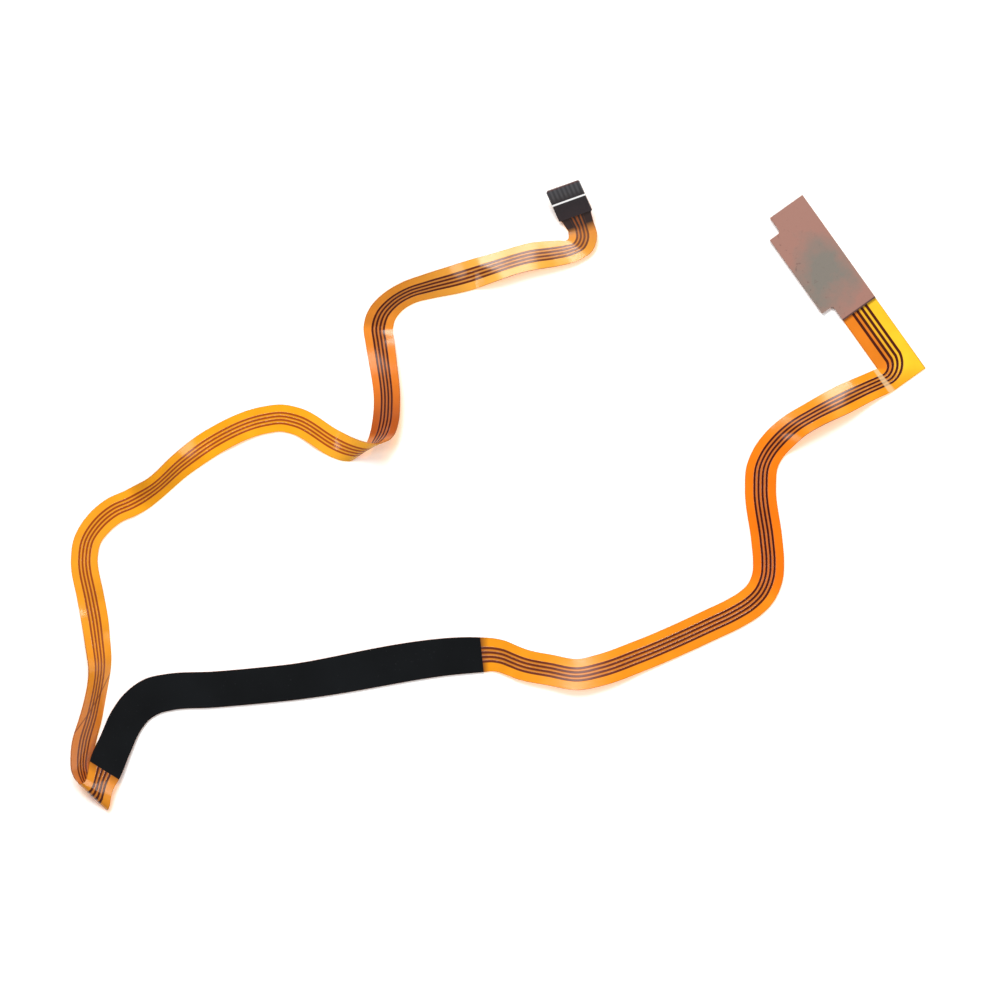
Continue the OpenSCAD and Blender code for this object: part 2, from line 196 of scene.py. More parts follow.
tailLines = [
    tailLine(0, tail["width"] - 2 * tail["inset"], fingerSides),
    tailLine(tail["chamfer"], tail["width"], fingerSides),
    tailLine(tail["fingers"], tail["width"], fingerSides),
    tailLine(tail["length"] - tail["shoulder"], tail["width"], gathered[0]),
    tailLine(tail["length"], tail["neckWidth"] * (1 + tail["flare"]), gathered[1]),
    tailLine(tail["length"] + tail["neckLength"] / 2, midNeck, gathered[2]),
]

# leg and plate, measured from the heel
legAlong = bearing(leg["heading"])
legLeft = bearing(leg["heading"] + 90)
up = Vector((0, 0, 1))
heelAt = Vector((*leg["heel"], film["cover"]))
crook = heelAt + legAlong * leg["join"] + legLeft * leg["width"]
joinMid = crook - legAlong * leg["join"] / 2

# strand: one smooth curve through all the rows, with the tail's end and the join as its ends
tailEnd = tailStart + tailAlong * tailWhole
rows = [(tailEnd.x, tailEnd.y, 0, degrees(atan2(tailAcross.y, tailAcross.x)), degrees(asin(tailAcross.z)),
         tail["neckWidth"])]
rows += route
rows += [(joinMid.x, joinMid.y, 0, leg["heading"], 0, leg["join"])]
gaps = [sqrt((b[0] - a[0]) ** 2 + (b[1] - a[1]) ** 2) for a, b in zip(rows, rows[1:])]
slopes = [[(q - p) / gap for p, q in zip(a, b)] for a, b, gap in zip(rows, rows[1:], gaps)]
tangents = [slopes[0]]
for i in range(1, len(rows) - 1):
    tangents.append([(gaps[i] * p + gaps[i - 1] * q) / (gaps[i - 1] + gaps[i])
                     for p, q in zip(slopes[i - 1], slopes[i])])
tangents.append(slopes[-1])


def onRoute(i, t):  # the row at a share t of the way from row i to the next
    gap = gaps[i]
    return [(2 * t ** 3 - 3 * t ** 2 + 1) * a + (t ** 3 - 2 * t ** 2 + t) * gap * m
            + (3 * t ** 2 - 2 * t ** 3) * b + (t ** 3 - t ** 2) * gap * n
            for a, b, m, n in zip(rows[i], rows[i + 1], tangents[i], tangents[i + 1])]


stations, stationRow = [], []
for i, gap in enumerate(gaps):
    steps = max(2, ceil(gap / film["step"]))
    for j in range(steps):
        stations.append(onRoute(i, j / steps))
        stationRow.append(i - 1 + j / steps)
stations.append(list(rows[-1]))
stationRow.append(len(route))


def roughPlace(row):
    x, y, lift, azimuth, rise, width = row
    return Vector((x, y, max(lift, 0) + width / 2 * sqrt(sin(radians(rise)) ** 2 + film["ease"] ** 2)))


def strandLine(i):
    before = roughPlace(stations[max(i - 1, 0)])
    after = roughPlace(stations[min(i + 1, len(stations) - 1)])
    over = across(stations[i][3], stations[i][4])
    out = (after - before).normalized().cross(over).normalized()
    place = roughPlace(stations[i])
    if i in (0, len(stations) - 1):
        place.z = stations[i][5] / 2 * abs(over.z)
    place.z -= sink(out)
    return [place, over, out, spread(stations[i][5])]


strandLines = [strandLine(i) for i in range(len(stations))]

# square turn into the leg about its inner corner, as a fan of lines
joinSides = [s - leg["join"] / 2 for s in spread(leg["join"])[1:-1]]
legSides = [s - leg["width"] / 2 for s in spread(leg["width"])[1:-1]]
heelTurn = degrees(atan2(leg["width"], leg["join"]))


def fanLine(angle):
    if angle <= heelTurn:
        reach = leg["join"] / cos(radians(angle))
    else:
        reach = leg["width"] / cos(radians(90 - angle))
    sides = [-reach] + mixed(joinSides, legSides, angle / 90) + [0]
    return [crook, bearing(leg["heading"] + angle), up, sides]


fanShares = [k / leg["fanSteps"] for k in range(1, leg["fanSteps"] + 1)]
fanLines = [fanLine(heelTurn * share) for share in fanShares]
fanLines += [fanLine(heelTurn + (90 - heelTurn) * share) for share in fanShares]


def landSides(width):
    return [-leg["width"] / 2 + k * leg["landPitch"] + s * width / 2
            for k in (-1.5, -0.5, 0.5, 1.5) for s in (-1, 1)]


def legLine(run, extra, sides):
    place = heelAt + legAlong * run + legLeft * leg["width"]
    return [place, legLeft, up, [-leg["width"]] + list(sides) + [extra]]


wideFrom = leg["length"] + leg["step"]
plateEnd = leg["length"] + leg["plate"]
wideTo = plateEnd - leg["step"]
arcRun = leg["radius"] * (1 - sin(radians(45)))
stepUp = leg["plateWidth"] - leg["width"]
thinSides = landSides(leg["width"] * film["line"])
wideSides = landSides(leg["land"])
bareFrom = wideTo - leg["bare"]
legRun = (leg["length"] - leg["width"]) / leg["runSteps"]
plateLines = [legLine(leg["width"] + legRun * k, 0, legSides) for k in range(1, leg["runSteps"] + 1)]
plateLines += [
    legLine(wideFrom - leg["radius"], 0, legSides),
    legLine(wideFrom - arcRun, arcRun, legSides),
    legLine(wideFrom, leg["radius"], legSides),
    legLine(wideFrom + leg["wall"], stepUp, legSides),
]
bareLines = [
    legLine(bareFrom, stepUp, thinSides),
    legLine(wideTo - leg["wall"], stepUp, thinSides),
    legLine(wideTo, leg["radius"], thinSides),
    legLine(wideTo + arcRun, arcRun, thinSides),
    legLine(wideTo + leg["radius"], 0, wideSides),
    legLine(plateEnd - leg["landGap"], 0, wideSides),
    legLine(plateEnd, 0, wideSides),
]

lines = tailLines + strandLines + fanLines + plateLines + bareLines
coverFrom, coverTo = 2, len(lines) - len(bareLines)
fingerFrom, landTo = 1, len(lines) - 2
strandFrom = len(tailLines)


def middle(line):  # middle of the laminate at a line
    place, over, out, sides = line
    return shift + place + over * (sides[0] + sides[-1]) / 2


path = [middle(line) for line in lines]
run = [0.0]
for a, b in zip(path, path[1:]):
    run.append(run[-1] + (b - a).length)
cableLength = run[-1]
shareOf = spread(1)
print("route laid,", round(cableLength * 1000, 1), "mm in", len(lines), "lines")


def lineAt(row):  # index of the line at a row of the route
    return strandFrom + min(range(len(stationRow)), key=lambda i: abs(stationRow[i] - row))


def along(row):  # share of the whole length at a row of the route
    return run[lineAt(row)] / cableLength


def ribbon(name, first, last, columns, low, high, trim=0.0):
    # a closed thin strip between two heights, with a map that counts shares of the width across it
    # and shares of the whole length along it
    vertices, count = [], len(columns)
    for i in range(first, last + 1):
        place, over, out, sides = lines[i]
        reach = [sides[k] for k in columns]
        reach[0] += trim
        reach[-1] -= trim
        for height, order in ((low, reach), (high, reach[::-1])):
            for offset in order:
                vertices.append(shift + place + over * offset + out * height)
    ring = 2 * count
    faces = []
    for i in range(last - first):
        for j in range(ring):
            k = (j + 1) % ring
            faces.append((i * ring + j, i * ring + k, (i + 1) * ring + k, (i + 1) * ring + j))
    top = (last - first) * ring
    for j in range(count - 1):
        faces.append((ring - 1 - j, ring - 2 - j, j + 1, j))
        faces.append((top + j, top + j + 1, top + ring - 2 - j, top + ring - 1 - j))
    mesh = bpy.data.meshes.new(name)
    mesh.from_pydata(vertices, [], faces)
    mesh.validate()
    layer = mesh.uv_layers.new(name="run")
    for loop in mesh.loops:
        i, j = divmod(loop.vertex_index, ring)
        column = j if j < count else ring - 1 - j
        layer.data[loop.index].uv = (shareOf[columns[column]], run[first + i] / cableLength)
    mesh.polygons.foreach_set("use_smooth", [True] * len(mesh.polygons))
    piece = bpy.data.objects.new(name, mesh)
    bpy.context.collection.objects.link(piece)
    # the two broad faces shade smoothly, the thin edges stay crisp
    bpy.ops.object.select_all(action="DESELECT")
    piece.select_set(True)
    bpy.context.view_layer.objects.active = piece
    bpy.ops.object.shade_smooth_by_angle(angle=radians(film["crispFrom"]))
    piece.select_set(False)
    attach(piece, "root")
    return piece


everyColumn = list(range(len(shareOf)))
seam = film["seam"]  # keeps touching faces of two pieces from flickering
frontFilm = ribbon("front_film", 0, len(lines) - 1, everyColumn, 0, film["base"])
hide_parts("base_film")
reverseFilm = ribbon("reverse_film", coverFrom, coverTo, everyColumn, -film["cover"], -seam)
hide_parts("cover_film")
traces = []
for k in range(4):
    trace = ribbon(f"trace_{k + 1}", fingerFrom, landTo, [1 + 2 * k, 2 + 2 * k], -film["copper"], -seam * 2)
    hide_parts(f"conductor_{k + 1}")
    traces.append(trace)
blackFilm = ribbon("black_film", lineAt(blackRows[0]), lineAt(blackRows[1]), everyColumn,
                   film["base"] + seam, film["base"] + film["black"], trim=film["blackTrim"])
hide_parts("black_cover")
print("cable laid")


def colour(code, alpha=1.0):
    # hex code of an sRGB colour, turned to linear
    parts = [int(code[i:i + 2], 16) / 255 for i in (0, 2, 4)]
    return (*[c / 12.92 if c <= 0.04045 else ((c + 0.055) / 1.055) ** 2.4 for c in parts], alpha)


def addNode(tree, kind, values=None, links=None, **settings):
    node = tree.nodes.new(kind)
    for name, value in settings.items():
        setattr(node, name, value)
    for socket, value in (values or {}).items():
        node.inputs[socket].default_value = value
    for socket, source in (links or {}).items():
        tree.links.new(source, node.inputs[socket])
    return node


def newFinish(name):
    finish = bpy.data.materials.new(name)
    finish.use_nodes = True
    finish.node_tree.nodes.clear()
    return finish, finish.node_tree


def close(tree, shader):
    addNode(tree, "ShaderNodeOutputMaterial", links={"Surface": shader})


def setStops(ramp, stops):
    elements = ramp.color_ramp.elements
    while len(elements) > 1:
        elements.remove(elements[-1])
    elements[0].position, elements[0].color = stops[0][0], colour(stops[0][1])
    for position, code in stops[1:]:
        elements.new(position).color = colour(code)


# polyimide film, cast and laminated: clear amber with a hard gloss, and copper shows dark through it
neckEnd = tailWhole / cableLength
neckFrom, neckTo = neckEnd - 0.0005, neckEnd + 0.0003
turnAt = run[len(tailLines) + len(strandLines) - 1] / cableLength
blackFrom, blackTo = [along(row) for row in blackRows]
beside = 0.0004  # a stop this far either side of the black film's ends keeps the step sharp
sharedLook = {
    "lamps": "ffe684", "passes": 0.9, "gloss": (0.13, 0.24), "shine": 0.36, "traceEdge": (0.009, 0.003),
    "patchScale": 320.0, "patchTone": (0.9, 1.06), "waveScale": 700.0, "waveShare": 0.35, "relief": 0.00003,
    # painted light on the leg: a paler yellow on its outer side and a darker orange of painted shade on the
    # other
    "legLitSide": "ffc828", "legShadedSide": "e8801a", "legShadeEdge": (-0.06, 0.14), "legFrom": 0.01,
    "groupEdge": (0.25, 0.21), "groupOnLeg": 0.35,
    "cut": "8c4410", "cutEdge": (0.478, 0.492), "cutShare": 0.5,
    # painted highlight: a pale band across the film where the strand meets the leg
    "fold": "f6d09c", "foldBack": 0.0008, "foldEdge": (0.0014, 0.0009), "foldShare": 0.62,
    # painted shade: a dark line along the crease over the twist
    "creaseShade": "7a3608", "creaseShadeEdge": (0.0012, 0.0003), "creaseShadeShare": 0.7,
}
# painted light in the film tones: the darker brown over the lower bend of strand A, where it stands tilted
# off the floor, is painted shade, and the paler orange at the corner after it is a painted highlight
frontLook = {
    **sharedLook,
    "film": [
        (0, "2e2626"), (neckFrom, "3c2e2c"), (neckTo, "e08a3c"), (along(2), "f2a838"), (along(5), "f2ae44"),
        (along(8), "f59a2e"), (along(12), "e8862a"), (along(13.4), "f08020"), (along(14.6), "b8581a"),
        (along(16), "ac4e14"), (along(17.2), "d88038"), (along(36), "e08a30"), (along(47), "e48e24"),
        (blackFrom - beside, "e88c1c"), (blackFrom + beside, "54261a"), (blackTo - beside, "54261a"),
        (blackTo + beside, "f0960e"), (along(61), "f69a18"), (along(70), "fb8c12"), (along(71), "fa7804"),
        (along(76), "fa7e08"), (along(80), "f89a14"), (turnAt, "f59a18"), (0.955, "f0a020")],
    "trace": [
        (0, "2e2626"), (neckFrom, "3c2e2c"), (neckTo, "7a4c34"), (along(3), "6a2c10"), (along(13), "4c1608"),
        (along(47), "4a1c10"), (blackFrom + beside, "54261a"), (blackTo - beside, "54261a"),
        (blackTo + beside, "6a2e14"), (along(66), "6a2a12"), (along(72), "480e02"), (0.95, "4c1606")],
    "between": "b0602a", "betweenShare": 0.6,
}
# painted shade in the film tones: the browner orange over the twist, where the strand stands steeply tilted,
# is painted shade
reverseLook = {
    **sharedLook,
    "film": [
        (along(17), "f0a040"), (along(20), "f8ac30"), (along(24), "fca814"), (along(29), "fca410"),
        (along(33), "f8a224"), (along(36), "f09a1e"), (along(38), "ee9426"), (along(41), "ea862a"),
        (along(44), "dc8040"), (blackFrom, "d88a2a"), (0.95, "e8a030")],
    "trace": [
        (along(17), "a4501c"), (along(23), "aa4c0c"), (along(33), "a04408"), (along(38), "94481c"),
        (along(44), "6c3420"), (0.95, "8a4414")],
    "between": "c87422", "betweenShare": 0.35,
}


def amberFilm(name, look):
    finish, tree = newFinish(name)
    shares = addNode(tree, "ShaderNodeUVMap", uv_map="run")
    parts = addNode(tree, "ShaderNodeSeparateXYZ", links={"Vector": shares.outputs["UV"]})
    spot = addNode(tree, "ShaderNodeTexCoord")
    # distance to the nearest of the four conductors, in shares of the width
    side = addNode(tree, "ShaderNodeMath", operation="ABSOLUTE", links={0: parts.outputs["X"]})
    pair = addNode(tree, "ShaderNodeMath", operation="SUBTRACT", values={1: film["pitch"]},
                   links={0: side.outputs[0]})
    pairSide = addNode(tree, "ShaderNodeMath", operation="ABSOLUTE", links={0: pair.outputs[0]})
    near = addNode(tree, "ShaderNodeMath", operation="SUBTRACT", values={1: film["pitch"] / 2},
                   links={0: pairSide.outputs[0]})
    distance = addNode(tree, "ShaderNodeMath", operation="ABSOLUTE", links={0: near.outputs[0]})
    copperSeen = addNode(tree, "ShaderNodeMapRange", interpolation_type="SMOOTHSTEP",
                         values={"From Min": film["line"] / 2 + look["traceEdge"][0],
                                 "From Max": film["line"] / 2 - look["traceEdge"][1]},
                         links={"Value": distance.outputs[0]})
    # the film's tone along the length: its own amber, with painted shade and a painted highlight in places
    filmToneAndPaintedLight = addNode(tree, "ShaderNodeValToRGB", links={"Fac": parts.outputs["Y"]})
    setStops(filmToneAndPaintedLight, look["film"])
    traceTone = addNode(tree, "ShaderNodeValToRGB", links={"Fac": parts.outputs["Y"]})
    setStops(traceTone, look["trace"])
    # the adhesive under the film lies in soft uneven patches a few millimetres across
    patches = addNode(tree, "ShaderNodeTexNoise", values={"Scale": look["patchScale"], "Detail": 3.0,
                      "Roughness": 0.55}, links={"Vector": spot.outputs["Object"]})
    patchTone = addNode(tree, "ShaderNodeMapRange", values={"From Min": 0.3, "From Max": 0.7,
                        "To Min": look["patchTone"][0], "To Max": look["patchTone"][1]},
                        links={"Value": patches.outputs["Fac"]})
    # on the leg the film lies flat on its outer side and stands off a little on the other side; the geometry
    # stays flat, so this is painted light: a paler yellow on the outer side and a darker orange of painted
    # shade on the other
    legShare = addNode(tree, "ShaderNodeMapRange", values={"From Min": turnAt,
                       "From Max": turnAt + look["legFrom"]}, links={"Value": parts.outputs["Y"]})
    legShadeMask = addNode(tree, "ShaderNodeMapRange", interpolation_type="SMOOTHSTEP",
                    values={"From Min": look["legShadeEdge"][0], "From Max": look["legShadeEdge"][1]},
                    links={"Value": parts.outputs["X"]})
    legLitAndShadedTone = addNode(tree, "ShaderNodeMix", data_type="RGBA", values={6: colour(look["legLitSide"]),
                      7: colour(look["legShadedSide"])}, links={0: legShadeMask.outputs[0]})
    wholeTone = addNode(tree, "ShaderNodeMix", data_type="RGBA", links={0: legShare.outputs[0],
                        6: filmToneAndPaintedLight.outputs["Color"], 7: legLitAndShadedTone.outputs[2]})
    # adhesive squeezed between the conductors looks browner than the clear margins, less so on the leg
    group = addNode(tree, "ShaderNodeMapRange", interpolation_type="SMOOTHSTEP",
                    values={"From Min": look["groupEdge"][0], "From Max": look["groupEdge"][1],
                            "To Max": look["betweenShare"]}, links={"Value": side.outputs[0]})
    offLeg = addNode(tree, "ShaderNodeMapRange", values={"To Min": 1.0, "To Max": look["groupOnLeg"]},
                     links={"Value": legShare.outputs[0]})
    groupShow = addNode(tree, "ShaderNodeMath", operation="MULTIPLY", links={0: group.outputs[0],
                        1: offLeg.outputs[0]})
    grouped = addNode(tree, "ShaderNodeMix", data_type="RGBA", values={7: colour(look["between"])},
                      links={0: groupShow.outputs[0], 6: wholeTone.outputs[2]})
    # cut edges look darker than the face
    cut = addNode(tree, "ShaderNodeMapRange", values={"From Min": look["cutEdge"][0],
                  "From Max": look["cutEdge"][1], "To Max": look["cutShare"]},
                  links={"Value": side.outputs[0]})
    edged = addNode(tree, "ShaderNodeMix", data_type="RGBA", values={7: colour(look["cut"])},
                    links={0: cut.outputs[0], 6: grouped.outputs[2]})
    tone = addNode(tree, "ShaderNodeMix", data_type="RGBA", links={0: copperSeen.outputs[0],
                   6: edged.outputs[2], 7: traceTone.outputs["Color"]})
    # a pale band across the film just before the strand meets the leg is a painted highlight, the lamps'
    # reflection painted into the colour
    offJoinHighlight = addNode(tree, "ShaderNodeMath", operation="SUBTRACT", values={1: turnAt - look["foldBack"]},
                      links={0: parts.outputs["Y"]})
    foldSide = addNode(tree, "ShaderNodeMath", operation="ABSOLUTE", links={0: offJoinHighlight.outputs[0]})
    foldShow = addNode(tree, "ShaderNodeMapRange", values={"From Min": look["foldEdge"][0],
                       "From Max": look["foldEdge"][1], "To Max": look["foldShare"]},
                       links={"Value": foldSide.outputs[0]})
    folded = addNode(tree, "ShaderNodeMix", data_type="RGBA", values={7: colour(look["fold"])},
                     links={0: foldShow.outputs[0], 6: tone.outputs[2]})
    # a sharp crease runs slantwise over the twist; the surface stays smooth there, so its dark line is
    # painted shade
    creaseFrom, creaseTo = [along(row) for row in creaseRows]
    slant = addNode(tree, "ShaderNodeMath", operation="MULTIPLY_ADD", values={1: creaseTo - creaseFrom,
                    2: (creaseFrom + creaseTo) / 2}, links={0: parts.outputs["X"]})
    offCrease = addNode(tree, "ShaderNodeMath", operation="SUBTRACT", links={0: parts.outputs["Y"],
                        1: slant.outputs[0]})
    creaseSide = addNode(tree, "ShaderNodeMath", operation="ABSOLUTE", links={0: offCrease.outputs[0]})
    creaseShadeShow = addNode(tree, "ShaderNodeMapRange", values={"From Min": look["creaseShadeEdge"][0],
                         "From Max": look["creaseShadeEdge"][1], "To Max": look["creaseShadeShare"]},
                         links={"Value": creaseSide.outputs[0]})
    creaseShaded = addNode(tree, "ShaderNodeMix", data_type="RGBA", values={7: colour(look["creaseShade"])},
                      links={0: creaseShadeShow.outputs[0], 6: folded.outputs[2]})
    uneven = addNode(tree, "ShaderNodeVectorMath", operation="SCALE", links={0: creaseShaded.outputs[2],
                     "Scale": patchTone.outputs[0]})
    # copper raises the film over it by a few hundredths of a millimetre, and the film itself is faintly wavy
    wave = addNode(tree, "ShaderNodeTexNoise", values={"Scale": look["waveScale"], "Detail": 2.0},
                   links={"Vector": spot.outputs["Object"]})
    height = addNode(tree, "ShaderNodeMath", operation="MULTIPLY_ADD", values={1: look["waveShare"]},
                     links={0: wave.outputs["Fac"], 2: copperSeen.outputs[0]})
    relief = addNode(tree, "ShaderNodeBump", values={"Strength": 0.5, "Distance": look["relief"]},
                     links={"Height": height.outputs[0]})
    gloss = addNode(tree, "ShaderNodeMapRange", values={"From Min": 0.3, "From Max": 0.7,
                    "To Min": look["gloss"][0], "To Max": look["gloss"][1]},
                    links={"Value": patches.outputs["Fac"]})
    surface = addNode(tree, "ShaderNodeBsdfPrincipled", values={"IOR": 1.5,
                      "Specular IOR Level": look["shine"]}, links={"Base Color": uneven.outputs[0],
                      "Roughness": gloss.outputs[0], "Normal": relief.outputs[0]})
    # light from the lamps comes through the film and stains its shadow orange
    ray = addNode(tree, "ShaderNodeLightPath")
    clear = addNode(tree, "ShaderNodeBsdfTransparent", values={"Color": colour(look["lamps"])})
    through = addNode(tree, "ShaderNodeMath", operation="MULTIPLY", values={1: look["passes"]},
                      links={0: ray.outputs["Is Shadow Ray"]})
    blend = addNode(tree, "ShaderNodeMixShader", links={0: through.outputs[0], 1: surface.outputs[0],
                    2: clear.outputs[0]})
    close(tree, blend.outputs[0])
    return finish


frontFilm.data.materials.append(amberFilm("amber_polyimide_front", frontLook))
reverseFilm.data.materials.append(amberFilm("amber_polyimide_reverse", reverseLook))

# rolled copper foil, etched: warm metal, unevenly dulled
copperLook = {"tone": "b87040", "worn": "8a4c2a"}
copperFoil, tree = newFinish("etched_copper_foil")
spot = addNode(tree, "ShaderNodeTexCoord")
grain = addNode(tree, "ShaderNodeTexNoise", values={"Scale": 900.0, "Detail": 4.0},
                links={"Vector": spot.outputs["Object"]})
tone = addNode(tree, "ShaderNodeMix", data_type="RGBA", values={6: colour(copperLook["tone"]),
               7: colour(copperLook["worn"])}, links={0: grain.outputs["Fac"]})
dull = addNode(tree, "ShaderNodeMapRange", values={"To Min": 0.25, "To Max": 0.5},
               links={"Value": grain.outputs["Fac"]})
metal = addNode(tree, "ShaderNodeBsdfPrincipled", values={"Metallic": 1.0},
                links={"Base Color": tone.outputs[2], "Roughness": dull.outputs[0]})
close(tree, metal.outputs[0])
for trace in traces:
    trace.data.materials.append(copperFoil)

# satin polyester cover film, printed black: near-black with fine dust, and a faint cool sheen painted into
# the colour in random lighter clouds
blackLook = {"tone": "08090a", "paintedSheen": "121518", "dust": "2c2d30"}
blackSatin, tree = newFinish("satin_black_cover_film")
spot = addNode(tree, "ShaderNodeTexCoord")
cloud = addNode(tree, "ShaderNodeTexNoise", values={"Scale": 150.0, "Detail": 3.0},
                links={"Vector": spot.outputs["Object"]})
tone = addNode(tree, "ShaderNodeMix", data_type="RGBA", values={6: colour(blackLook["tone"]),
               7: colour(blackLook["paintedSheen"])}, links={0: cloud.outputs["Fac"]})
specks = addNode(tree, "ShaderNodeTexNoise", values={"Scale": 4500.0, "Detail": 1.0},
                 links={"Vector": spot.outputs["Object"]})
dust = addNode(tree, "ShaderNodeMapRange", values={"From Min": 0.72, "From Max": 0.8, "To Max": 0.6},
               links={"Value": specks.outputs["Fac"]})
dusty = addNode(tree, "ShaderNodeMix", data_type="RGBA", values={7: colour(blackLook["dust"])},
                links={0: dust.outputs[0], 6: tone.outputs[2]})
dull = addNode(tree, "ShaderNodeMapRange", values={"To Min": 0.38, "To Max": 0.55},
               links={"Value": cloud.outputs["Fac"]})
relief = addNode(tree, "ShaderNodeBump", values={"Strength": 0.2, "Distance": 0.00001},
                 links={"Height": specks.outputs["Fac"]})
surface = addNode(tree, "ShaderNodeBsdfPrincipled", values={"Specular IOR Level": 0.09},
                  links={"Base Color": dusty.outputs[2],
                  "Roughness": dull.outputs[0], "Normal": relief.outputs[0]})
close(tree, surface.outputs[0])
blackFilm.data.materials.append(blackSatin)


def dress(name, finish):
    node = bpy.data.objects[name]
    for place in node.material_slots:
        place.material = finish


# glass-epoxy stiffener under dark adhesive: brown-grey, satin, with a printed white seating line
tailLook = {"tones": [(0.0, "5a3432"), (0.05, "3c3c40"), (0.3, "363335"), (0.5, "282225"), (1.0, "30262a")],
            "rib": "7c7c80", "ribEdge": (0.00008, 0.00017), "ribFade": (0.0016, 0.001), "ribShare": 0.2,
            "line": "ffffff", "lineAt": 0.0018, "lineWidth": 0.00019, "lineBlur": 0.00002}
tailFinish, tree = newFinish("dark_glass_epoxy_tail")
spot = addNode(tree, "ShaderNodeTexCoord")
tailOrigin = tailStart + shift
runTail = addNode(tree, "ShaderNodeVectorMath", operation="DOT_PRODUCT", values={1: tailAlong},
                  links={0: spot.outputs["Object"]})
fromTip = addNode(tree, "ShaderNodeMath", operation="SUBTRACT", values={1: tailOrigin.dot(tailAlong)},
                  links={0: runTail.outputs["Value"]})
sideTail = addNode(tree, "ShaderNodeVectorMath", operation="DOT_PRODUCT", values={1: tailAcross},
                   links={0: spot.outputs["Object"]})
fromMiddle = addNode(tree, "ShaderNodeMath", operation="SUBTRACT", values={1: tailOrigin.dot(tailAcross)},
                     links={0: sideTail.outputs["Value"]})
share = addNode(tree, "ShaderNodeMath", operation="DIVIDE", values={1: tail["length"]},
                links={0: fromTip.outputs[0]})
tone = addNode(tree, "ShaderNodeValToRGB", links={"Fac": share.outputs[0]})
setStops(tone, tailLook["tones"])
ribs = addNode(tree, "ShaderNodeMath", operation="PINGPONG", values={1: tail["fingerPitch"] / 2},
               links={0: fromMiddle.outputs[0]})
rib = addNode(tree, "ShaderNodeMapRange", values={"From Min": tailLook["ribEdge"][0],
              "From Max": tailLook["ribEdge"][1], "To Min": 1.0, "To Max": 0.0},
              links={"Value": ribs.outputs[0]})
nearTip = addNode(tree, "ShaderNodeMapRange", values={"From Min": tailLook["ribFade"][0],
                  "From Max": tailLook["ribFade"][1], "To Max": tailLook["ribShare"]},
                  links={"Value": fromTip.outputs[0]})
ribShow = addNode(tree, "ShaderNodeMath", operation="MULTIPLY",
                  links={0: rib.outputs[0], 1: nearTip.outputs[0]})
ribbed = addNode(tree, "ShaderNodeMix", data_type="RGBA", values={7: colour(tailLook["rib"])},
                 links={0: ribShow.outputs[0], 6: tone.outputs["Color"]})
offLine = addNode(tree, "ShaderNodeMath", operation="SUBTRACT", values={1: tailLook["lineAt"]},
                  links={0: fromTip.outputs[0]})
lineSide = addNode(tree, "ShaderNodeMath", operation="ABSOLUTE", links={0: offLine.outputs[0]})
lineHalf, lineBlur = tailLook["lineWidth"] / 2, tailLook["lineBlur"]
lineInk = addNode(tree, "ShaderNodeMapRange", values={"From Min": lineHalf + lineBlur,
                  "From Max": lineHalf - lineBlur}, links={"Value": lineSide.outputs[0]})
inked = addNode(tree, "ShaderNodeMix", data_type="RGBA", values={7: colour(tailLook["line"])},
                links={0: lineInk.outputs[0], 6: ribbed.outputs[2]})
grain = addNode(tree, "ShaderNodeTexNoise", values={"Scale": 2500.0, "Detail": 3.0},
                links={"Vector": spot.outputs["Object"]})
dull = addNode(tree, "ShaderNodeMapRange", values={"To Min": 0.35, "To Max": 0.6},
               links={"Value": grain.outputs["Fac"]})
relief = addNode(tree, "ShaderNodeBump", values={"Strength": 0.3, "Distance": 0.00001},
                 links={"Height": grain.outputs["Fac"]})
surface = addNode(tree, "ShaderNodeBsdfPrincipled", links={"Base Color": inked.outputs[2],
                  "Roughness": dull.outputs[0], "Normal": relief.outputs[0]})
close(tree, surface.outputs[0])
dress("tail_stiffener", tailFinish)

# pinkish glass-epoxy board, cut and rubbed: grey-green clouds, dark grit along its edges
plateLook = {"tone": "a07264", "cloud": "79746a", "cloudAt": (0.0058, 0.0037), "cloudFade": 130.0,
             "grit": "543632", "gritFrom": (0.0035, 0.0055), "edge": "3c1412", "edgeRun": (0.00022, 0.00012)}
plateFinish, tree = newFinish("pink_glass_epoxy_plate")
spot = addNode(tree, "ShaderNodeTexCoord")
cloud = addNode(tree, "ShaderNodeTexNoise", values={"Scale": 260.0, "Detail": 5.0, "Roughness": 0.6},
                links={"Vector": spot.outputs["Object"]})
cloudRun, cloudSide = plateLook["cloudAt"]
cloudMiddle = heelAt + shift + legAlong * (leg["length"] + cloudRun) + legLeft * cloudSide
fromCloud = addNode(tree, "ShaderNodeVectorMath", operation="DISTANCE", values={1: cloudMiddle},
                    links={0: spot.outputs["Object"]})
cloudEdge = addNode(tree, "ShaderNodeMath", operation="MULTIPLY_ADD",
                    values={1: -plateLook["cloudFade"], 2: 0.5},
                    links={0: fromCloud.outputs["Value"]})
cloudSum = addNode(tree, "ShaderNodeMath", operation="ADD",
                   links={0: cloudEdge.outputs[0], 1: cloud.outputs["Fac"]})
cloudShow = addNode(tree, "ShaderNodeMapRange", values={"From Min": 0.38, "From Max": 0.78, "To Max": 0.95},
                    links={"Value": cloudSum.outputs[0]})
tone = addNode(tree, "ShaderNodeMix", data_type="RGBA", values={6: colour(plateLook["tone"]),
               7: colour(plateLook["cloud"])}, links={0: cloudShow.outputs[0]})
plateRun = addNode(tree, "ShaderNodeVectorMath", operation="DOT_PRODUCT", values={1: legAlong},
                   links={0: spot.outputs["Object"]})
fromJoint = addNode(tree, "ShaderNodeMath", operation="SUBTRACT",
                    values={1: (heelAt + shift).dot(legAlong) + leg["length"]},
                    links={0: plateRun.outputs["Value"]})
edgeLine = addNode(tree, "ShaderNodeMapRange", values={"From Min": plateLook["edgeRun"][0],
                   "From Max": plateLook["edgeRun"][1], "To Max": 0.9}, links={"Value": fromJoint.outputs[0]})
